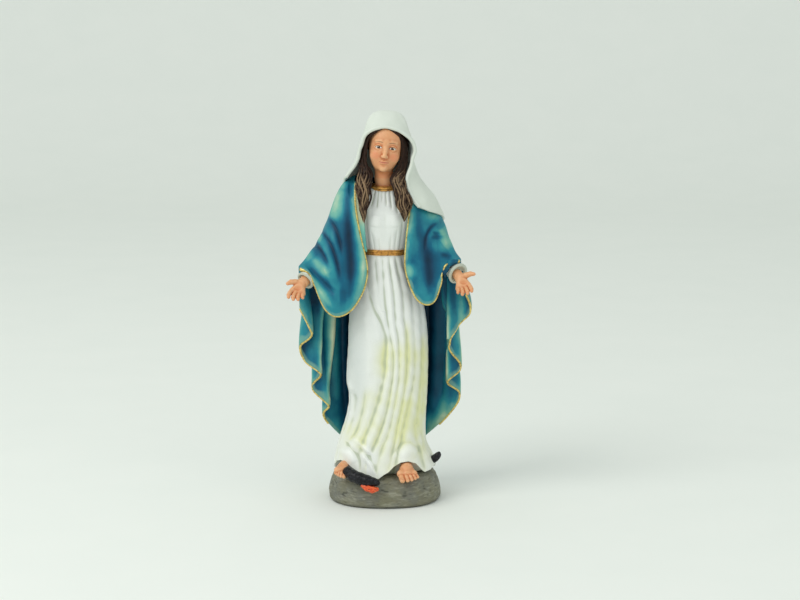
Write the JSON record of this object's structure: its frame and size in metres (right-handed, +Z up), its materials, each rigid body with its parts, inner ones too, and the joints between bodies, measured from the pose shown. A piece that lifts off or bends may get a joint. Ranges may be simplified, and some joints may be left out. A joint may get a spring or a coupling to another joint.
{
  "type": "madonna statue",
  "caption": "Standing draped female devotional figure with open hands, in a hooded veil and long mantle, on a rounded rock base with a snake underfoot.",
  "frame": {"origin": "centre of the flat underside of the rock base, on the surface that the statue stands on", "axes": "+Z up, -Y the way the figure faces, +X to the figure's left"},
  "size_m": [0.0952, 0.0594, 0.2001],
  "materials": {
    "gown_white": "painted resin, satin, warm white airbrushed with pale yellow-green in the folds",
    "veil_white": "painted resin, satin, cool white",
    "mantle_blue": "painted resin, satin, teal blue shaded deep blue in the folds and pale green on the ridges",
    "gilt": "brushed-on gold paint, semi-gloss",
    "skin": "painted resin, satin flesh colour with warm blush",
    "hair": "painted resin, dark brown dry-brushed with light brown",
    "rock": "painted resin, matt grey with olive and pale grey brush strokes",
    "snake_black": "painted resin, semi-gloss black",
    "snake_mouth": "painted resin, orange red",
    "felt": "thin felt"
  },
  "bodies": {
    "root": {"rock_base": "rock", "base_pad": "felt", "snake_body": "snake_black", "snake_jaw": "snake_mouth", "snake_tail": "snake_black", "right_foot": "skin", "left_foot": "skin", "skirt": "gown_white", "bodice": "gown_white", "belt": "gilt", "neck_band": "gilt", "right_sleeve": "gown_white", "left_sleeve": "gown_white", "right_hand": "skin", "left_hand": "skin", "head": "skin", "hair_cap": "hair", "right_hair_lock": "hair", "left_hair_lock": "hair", "mantle_back": "mantle_blue", "right_mantle_front": "mantle_blue", "left_mantle_front": "mantle_blue", "right_front_trim": "gilt", "left_front_trim": "gilt", "right_side_trim": "gilt", "left_side_trim": "gilt", "veil": "veil_white", "veil_rim": "veil_white"}
  },
  "joints": []
}
